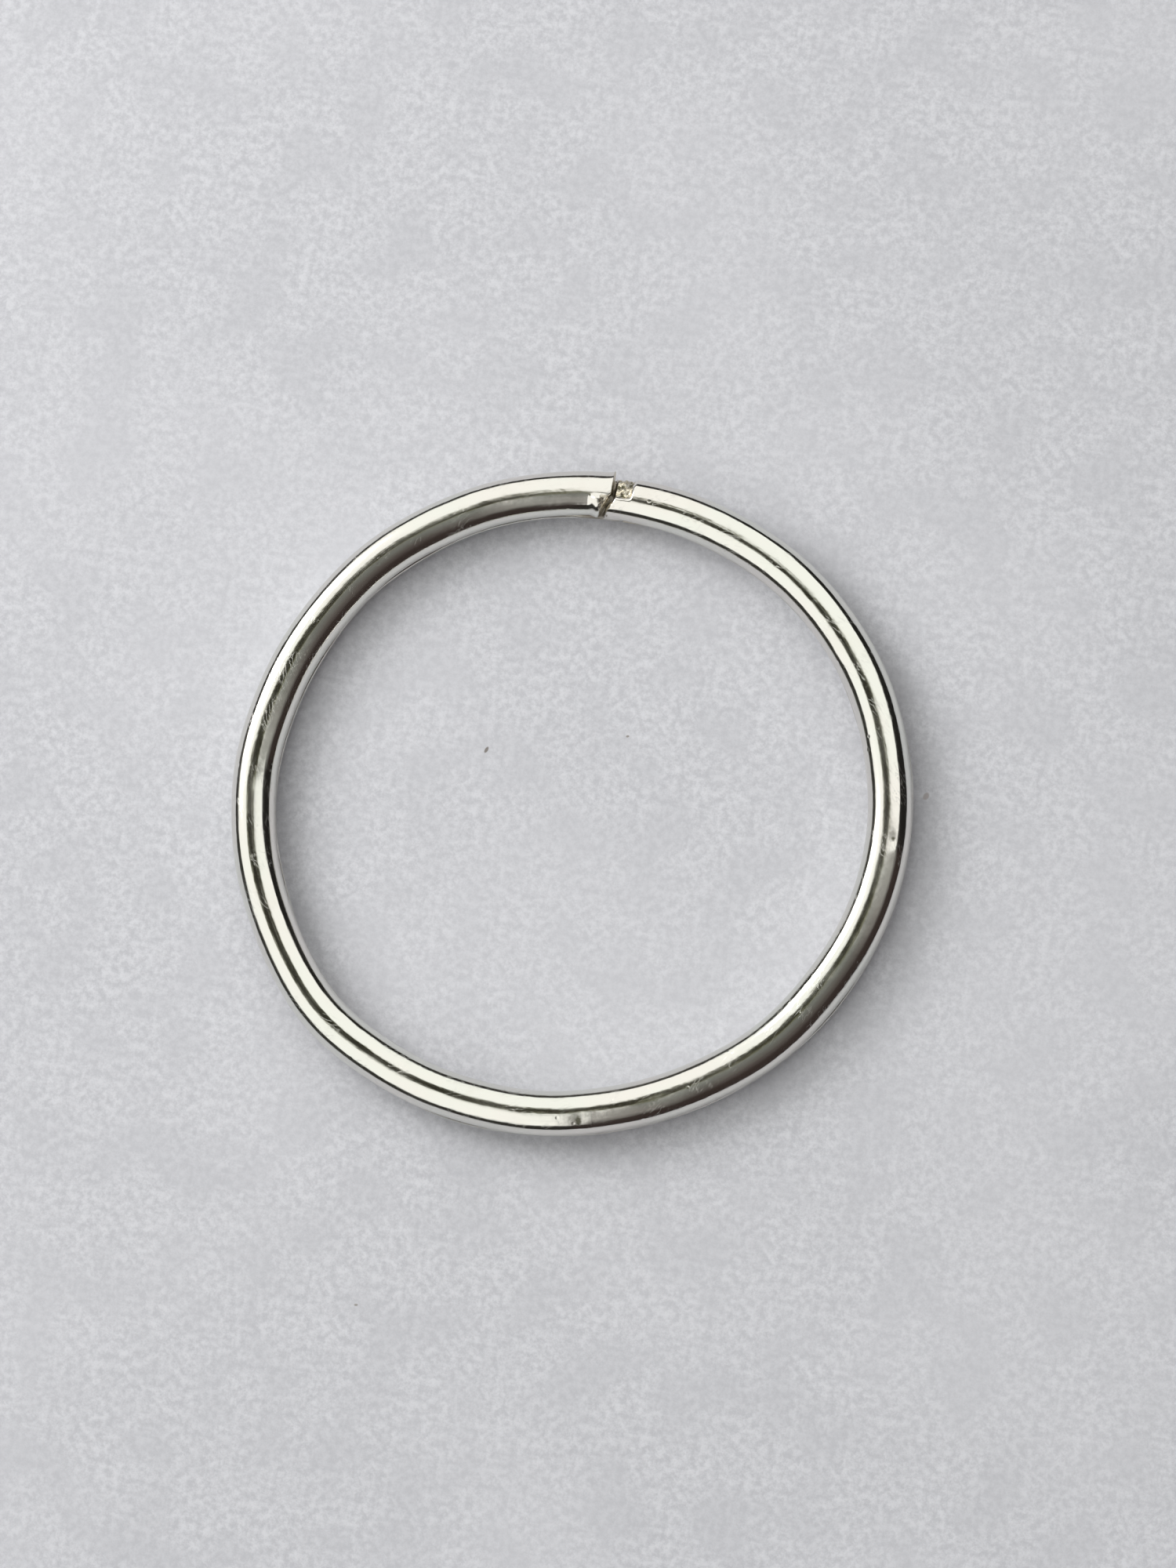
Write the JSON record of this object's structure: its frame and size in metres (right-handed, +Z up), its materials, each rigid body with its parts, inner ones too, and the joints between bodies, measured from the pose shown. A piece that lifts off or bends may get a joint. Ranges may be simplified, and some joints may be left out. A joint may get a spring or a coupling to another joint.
{
  "type": "split key ring",
  "caption": "Round split ring of half-round spring wire in two turns lying flat on flat, which opens at its free end to take keys.",
  "frame": {"origin": "centre of the ring's eye, on the surface the ring lies flat on", "axes": "+Z up along the ring's axis, +Y from the centre towards the split, +X a quarter turn clockwise from it as seen from above"},
  "size_m": [0.03, 0.03, 0.002],
  "materials": {
    "plated_wire": "bright nickel plating on spring steel, with fine scratches",
    "plated_end": "nickel plating over a sheared and pinched surface, duller and slightly brown"
  },
  "bodies": {
    "lower_turn_and_crossover": {"lower_turn": "plated_wire", "crossover": "plated_end", "upper_turn_root": "plated_wire"},
    "upper_turn_1": {"upper_turn_1": "plated_wire"},
    "upper_turn_2": {"upper_turn_2": "plated_wire"},
    "upper_turn_3": {"upper_turn_3": "plated_wire"},
    "upper_turn_4": {"upper_turn_4": "plated_wire"},
    "upper_turn_5": {"upper_turn_5": "plated_wire"},
    "upper_turn_6": {"upper_turn_6": "plated_wire"},
    "upper_turn_7": {"upper_turn_7": "plated_wire"},
    "upper_turn_8": {"upper_turn_8": "plated_wire"},
    "upper_free_end": {"upper_free_end": "plated_wire"}
  },
  "joints": [
    {"name": "twist_1", "type": "hinge", "parent": "lower_turn_and_crossover", "child": "upper_turn_1", "pos_m": [0.01212, 0.007, 0.00143], "axis": [-0.5, 0.866, 0], "range_deg": [0, 0.352], "stiffness_Nm_per_rad": 0.02},
    {"name": "twist_2", "type": "hinge", "parent": "upper_turn_1", "child": "upper_turn_2", "pos_m": [0.014, 0, 0.00143], "axis": [0, 1, 0], "range_deg": [0, 0.702], "stiffness_Nm_per_rad": 0.02},
    {"name": "twist_3", "type": "hinge", "parent": "upper_turn_2", "child": "upper_turn_3", "pos_m": [0.01212, -0.007, 0.00143], "axis": [0.5, 0.866, 0], "range_deg": [0, 1.05], "stiffness_Nm_per_rad": 0.02},
    {"name": "twist_4", "type": "hinge", "parent": "upper_turn_3", "child": "upper_turn_4", "pos_m": [0.007, -0.01212, 0.00143], "axis": [0.866, 0.5, 0], "range_deg": [0, 1.31], "stiffness_Nm_per_rad": 0.02},
    {"name": "opening_twist", "type": "hinge", "parent": "upper_turn_4", "child": "upper_turn_5", "pos_m": [0, -0.014, 0.00143], "axis": [1, 0, 0], "range_deg": [0, 1.4], "stiffness_Nm_per_rad": 14.4},
    {"name": "twist_6", "type": "hinge", "parent": "upper_turn_5", "child": "upper_turn_6", "pos_m": [-0.007, -0.01212, 0.00143], "axis": [0.866, -0.5, 0], "range_deg": [0, 1.31], "stiffness_Nm_per_rad": 0.02},
    {"name": "twist_7", "type": "hinge", "parent": "upper_turn_6", "child": "upper_turn_7", "pos_m": [-0.01212, -0.007, 0.00143], "axis": [0.5, -0.866, 0], "range_deg": [0, 1.05], "stiffness_Nm_per_rad": 0.02},
    {"name": "twist_8", "type": "hinge", "parent": "upper_turn_7", "child": "upper_turn_8", "pos_m": [-0.014, 0, 0.00143], "axis": [0, -1, 0], "range_deg": [0, 0.702], "stiffness_Nm_per_rad": 0.02},
    {"name": "twist_9", "type": "hinge", "parent": "upper_turn_8", "child": "upper_free_end", "pos_m": [-0.01212, 0.007, 0.00143], "axis": [-0.5, -0.866, 0], "range_deg": [0, 0.352], "stiffness_Nm_per_rad": 0.02}
  ],
  "couplings": [
    {"joint": "twist_1", "follows": "opening_twist", "ratio": 0.25},
    {"joint": "twist_2", "follows": "opening_twist", "ratio": 0.5},
    {"joint": "twist_3", "follows": "opening_twist", "ratio": 0.75},
    {"joint": "twist_4", "follows": "opening_twist", "ratio": 0.933},
    {"joint": "twist_6", "follows": "opening_twist", "ratio": 0.933},
    {"joint": "twist_7", "follows": "opening_twist", "ratio": 0.75},
    {"joint": "twist_8", "follows": "opening_twist", "ratio": 0.5},
    {"joint": "twist_9", "follows": "opening_twist", "ratio": 0.25}
  ]
}
